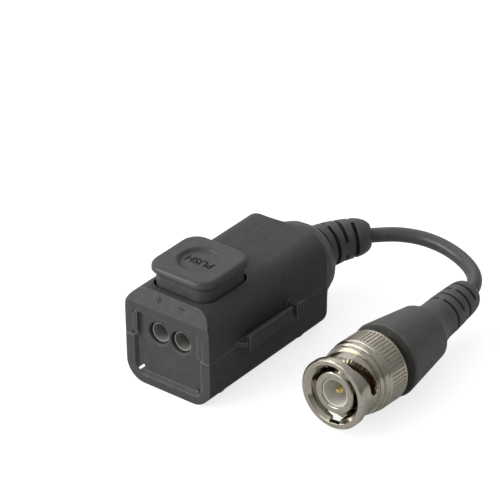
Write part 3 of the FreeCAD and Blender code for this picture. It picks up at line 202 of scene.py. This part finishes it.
def metal(name, low, high, rough, edge=0.1):
    """Plated metal with faint wear and fine turning marks."""
    paint = Paint(name, low, rough, 1.0)
    paint.soft_edges(edge * MM)
    paint.mottle(low, high, METAL_PATCHES, PATCH_DETAIL)
    paint.vary_rough(rough - 0.04, rough + 0.07, METAL_WEAR)
    paint.bump(paint.noise(METAL_GRAIN), 0.1, 0.01 * MM)
    return paint


SHELL_LOOK = ((0.053, 0.054, 0.053), (0.063, 0.064, 0.063), 0.55, 0.045, 0.34)
RUBBER_LOW = (0.068, 0.069, 0.065)

# Shell, button and boot carry painted highlights on their edges through their gain.
shell = moulded("shell_plastic", *SHELL_LOOK, edge_highlight_gain=3.6)
button = moulded("button_plastic", (0.053, 0.054, 0.053), (0.062, 0.063, 0.061), 0.36,
                 grain=0.035, edge=0.3, sheen=0.35, edge_highlight_gain=1.5)
boot = moulded("boot_rubber", RUBBER_LOW, (0.08, 0.081, 0.076), 0.41,
               grain=0.04, edge=0.3, scale=4200, sheen=0.42, edge_highlight_gain=1.7)
jacket = moulded("cable_jacket", RUBBER_LOW, (0.078, 0.079, 0.074), 0.3,
                 grain=0.015, edge=0.05, scale=3000, sheen=0.5)
grey = moulded("terminal_grey", (0.24, 0.235, 0.22), (0.28, 0.275, 0.26), 0.4)
white = moulded("dielectric", (0.62, 0.61, 0.57), (0.68, 0.67, 0.63), 0.38, grain=0.02)
seal = moulded("seal_rubber", (0.036, 0.012, 0.006), (0.052, 0.018, 0.009), 0.45)
nickel = metal("nickel", (0.49, 0.46, 0.385), (0.575, 0.54, 0.455), 0.13, edge=0.16)
steel = metal("spring_steel", (0.45, 0.45, 0.45), (0.55, 0.55, 0.54), 0.3)
gold = metal("gold_plate", (0.75, 0.55, 0.2), (0.85, 0.64, 0.28), 0.22)
copper = metal("copper", (0.62, 0.28, 0.13), (0.7, 0.36, 0.2), 0.3)
board = moulded("board_green", (0.03, 0.16, 0.07), (0.04, 0.2, 0.09), 0.35)
ferrite = moulded("ferrite", (0.045, 0.045, 0.05), (0.06, 0.06, 0.065), 0.6)
film = moulded("film_red", (0.4, 0.05, 0.03), (0.46, 0.08, 0.05), 0.3)
lacquer = moulded("lacquer", (0.55, 0.42, 0.25), (0.62, 0.5, 0.32), 0.35)
disc = moulded("disc_blue", (0.05, 0.12, 0.36), (0.07, 0.16, 0.42), 0.3)

LOOKS = {
    shell: ("lower_shell", "upper_shell"),
    button: ("push_button",),
    boot: ("cable_boot", "plug_boot"),
    jacket: ("coax_tail",),
    grey: ("terminal_block",),
    white: ("insulator", "coax_core"),
    seal: ("gasket",),
    nickel: ("coupling_ring", "plug_body", "outer_contact", "crimp_ferrule"),
    steel: ("return_spring", "clamp_spring_left", "clamp_spring_right", "wave_washer", "resistor_leads"),
    gold: ("contact_left", "contact_right", "center_pin"),
    copper: ("winding_near", "winding_far", "retaining_clip", "core_wire", "braid_wire"),
    board: ("circuit_board",),
    ferrite: ("toroid_core",),
    film: ("film_capacitor",),
    lacquer: ("resistor",),
    disc: ("surge_absorber", "disc_capacitor"),
}


def paint_piece(item, paint):
    item.data.materials.clear()
    item.data.materials.append(paint.material)


for paint, names in LOOKS.items():
    for name in names:
        paint_piece(nodes[name], paint)


# Coax lead along the route between the two strain reliefs

ROUTE = [
    (4.918, 35.965, 9.30), (7.54, 38.72, 9.30), (10.30, 40.62, 9.20), (13.40, 41.85, 9.02),
    (16.60, 42.20, 8.80), (19.80, 41.92, 8.54), (22.82, 41.10, 8.26), (25.52, 39.84, 7.98),
    (27.66, 38.25, 7.70), (29.02, 36.44, 7.46), (29.732, 34.442, 7.162), (29.829, 32.695, 7.134),
]
CABLE_DIAMETER = 2.8


def coax_lead():
    """Round cable through the route, with the plug and its strain relief on its far end."""
    curve = bpy.data.curves.new("coax_lead", "CURVE")
    curve.dimensions = "3D"
    curve.bevel_depth = CABLE_DIAMETER / 2 * MM
    curve.bevel_resolution = 10
    curve.resolution_u = 12
    curve.use_fill_caps = True
    spline = curve.splines.new("NURBS")
    spline.points.add(len(ROUTE) - 1)
    for point, place in zip(spline.points, ROUTE):
        point.co = (*(Vector(place) * MM), 1)
    spline.order_u = 3
    spline.use_endpoint_u = True
    item = bpy.data.objects.new("coax_lead", curve)
    scene.collection.objects.link(item)
    paint_piece(item, jacket)
    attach(item, "housing")
    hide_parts("coax_cable")


coax_lead()


# Word and polarity marks

LETTER_SIZE, LETTER_BOLD, LETTER_TALL = 2.5, 0.045, 0.02
DISH_MIDDLE = (0, -7.55, 22.6)
MARK_SIZE, MARK_ROUND = (1.2, 0.24, 0.16), 0.04
PLUS_X, MINUS_X = -2.4, 2.6
BAND_LOW, BAND_HIGH, MARK_HEIGHT = Vector((0, -17.2, 16.5)), Vector((0, -15.5, 19.0)), 0.6


def mark(name, text, place, turn, paint, body):
    """Thin lettering laid on a face."""
    curve = bpy.data.curves.new(name, "FONT")
    curve.body = text
    curve.size = LETTER_SIZE * MM
    curve.align_x = "CENTER"
    curve.align_y = "CENTER"
    curve.extrude = LETTER_TALL * MM
    curve.offset = LETTER_BOLD * MM
    curve.resolution_u = 3
    item = bpy.data.objects.new(name, curve)
    scene.collection.objects.link(item)
    item.matrix_world = Matrix.Translation(Vector(place) * MM) @ turn
    bpy.context.view_layer.update()
    mesh = bpy.data.meshes.new_from_object(item)
    place_matrix = item.matrix_world.copy()
    bpy.data.objects.remove(item)
    solid = bpy.data.objects.new(name, mesh)
    scene.collection.objects.link(solid)
    solid.matrix_world = place_matrix
    paint_piece(solid, paint)
    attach(solid, body)
    return solid


def bar(name, place, turn, paint, body):
    """Small raised bar with rounded edges."""
    mesh = bpy.data.meshes.new(name)
    shape = bmesh.new()
    bmesh.ops.create_cube(shape, size=1.0)
    bmesh.ops.scale(shape, vec=Vector(MARK_SIZE) * MM, verts=shape.verts)
    bmesh.ops.bevel(shape, geom=shape.edges[:], offset=MARK_ROUND * MM, segments=2, affect="EDGES")
    shape.to_mesh(mesh)
    shape.free()
    item = bpy.data.objects.new(name, mesh)
    scene.collection.objects.link(item)
    item.matrix_world = Matrix.Translation(Vector(place) * MM) @ turn
    paint_piece(item, paint)
    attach(item, body)


marks = moulded("marks", *SHELL_LOOK)
# The word is painted nearly black: painted shade standing in for the shade inside engraved letters.
engraving_shade = moulded("engraving_shade_word", (0.01, 0.01, 0.01), (0.016, 0.016, 0.016), 0.6, sheen=0.1)
upside = Matrix.Rotation(math.pi, 4, "Z")
mark("push_word", "PUSH", DISH_MIDDLE, upside, engraving_shade, "button")

band_up = (BAND_HIGH - BAND_LOW).normalized()
band_out = Vector((1, 0, 0)).cross(band_up)
band_turn = Matrix(((1, 0, 0), band_up, band_out)).transposed().to_4x4()
upright = band_turn @ Matrix.Rotation(math.pi / 2, 4, "Z")
mark_line = BAND_LOW.lerp(BAND_HIGH, MARK_HEIGHT)
for name, x, turn in (("plus_across", PLUS_X, band_turn),
                      ("plus_upright", PLUS_X, upright),
                      ("minus", MINUS_X, band_turn)):
    bar(name, mark_line + Vector((x, 0, 0)), turn, marks, "housing")


# Light, floor and background

TARGET = Vector((0.01, 0.01, 0.01))
KEY_PLACE, KEY_POWER, KEY_SIZE = Vector((-0.6, -0.87, 0.42)), 11.4, 1.1
RIM_PLACE, RIM_POWER, RIM_SIZE = Vector((-0.7, 0.7, 0.75)), 0.8, 1.0
FLOOR_SIDE, FLOOR_LEVEL = 3.0, -0.00002
FLOOR_TONE, FLOOR_ROUGH = (0.45, 0.45, 0.45), 0.7
FLOOR_GLOW, FLOOR_GLOSS = 0.75, 0.1
WORLD_LIGHT, WORLD_FALL = 0.78, 0.66
GLOSS_HORIZON, GLOSS_TOP, GLOSS_FALL = 0.36, 0.52, 0.55
HORIZON_END, TOP_START = 0.05, 0.8


def lamp(name, place, energy, size):
    """Round soft light that faces the part."""
    data = bpy.data.lights.new(name, "AREA")
    data.energy = energy
    data.shape = "DISK"
    data.size = size
    item = bpy.data.objects.new(name, data)
    scene.collection.objects.link(item)
    item.location = place
    item.rotation_euler = (TARGET - place).to_track_quat("-Z", "Y").to_euler()


def floor():
    """Pale floor that glows a little to the camera, and less in gloss, so that it keeps the shadow."""
    mesh = bpy.data.meshes.new("floor")
    corners = [(x * FLOOR_SIDE, y * FLOOR_SIDE, FLOOR_LEVEL)
               for x, y in ((-1, -1), (1, -1), (1, 1), (-1, 1))]
    mesh.from_pydata(corners, [], [(0, 1, 2, 3)])
    item = bpy.data.objects.new("floor", mesh)
    scene.collection.objects.link(item)
    paint = Paint("floor_white", FLOOR_TONE, FLOOR_ROUGH)
    paint.shader.inputs["Specular IOR Level"].default_value = 0.1
    paint.shader.inputs["Emission Color"].default_value = (1, 1, 1, 1)
    path = paint.add("ShaderNodeLightPath")
    glow = sum_of(paint.tree, [(path.outputs["Is Camera Ray"], FLOOR_GLOW),
                               (path.outputs["Is Transmission Ray"], FLOOR_GLOW),
                               (path.outputs["Is Glossy Ray"], FLOOR_GLOSS)])
    paint.link(glow, paint.shader.inputs["Emission Strength"])
    paint_piece(item, paint)


def studio():
    """Light tent that dims toward the right; white to the camera, darker near the horizon in gloss."""
    world = bpy.data.worlds.new("studio")
    scene.world = world
    world.use_nodes = True
    tree = world.node_tree
    place = tree.nodes.new("ShaderNodeTexCoord")
    parts = tree.nodes.new("ShaderNodeSeparateXYZ")
    tree.links.new(place.outputs["Generated"], parts.inputs["Vector"])
    side, height = parts.outputs["X"], parts.outputs["Z"]
    path = tree.nodes.new("ShaderNodeLightPath")
    tent = spread(tree, side, -1, 1, WORLD_LIGHT * (1 + WORLD_FALL), WORLD_LIGHT * (1 - WORLD_FALL))
    upper = spread(tree, height, HORIZON_END, TOP_START, GLOSS_HORIZON, GLOSS_TOP, "SMOOTHSTEP")
    gloss = sum_of(tree, [(upper, spread(tree, side, -1, 1, 1 + GLOSS_FALL, 1 - GLOSS_FALL))])
    strength = spread(tree, path.outputs["Is Glossy Ray"], 0, 1, tent, gloss)
    for flag in ("Is Transmission Ray", "Is Camera Ray"):
        strength = spread(tree, path.outputs[flag], 0, 1, strength, 1.0)
    background = tree.nodes["Background"]
    background.inputs["Color"].default_value = (1, 1, 1, 1)
    tree.links.new(strength, background.inputs["Strength"])


lamp("key", KEY_PLACE, KEY_POWER, KEY_SIZE)
lamp("rim", RIM_PLACE, RIM_POWER, RIM_SIZE)
floor()
studio()
scene.view_settings.view_transform = "Standard"
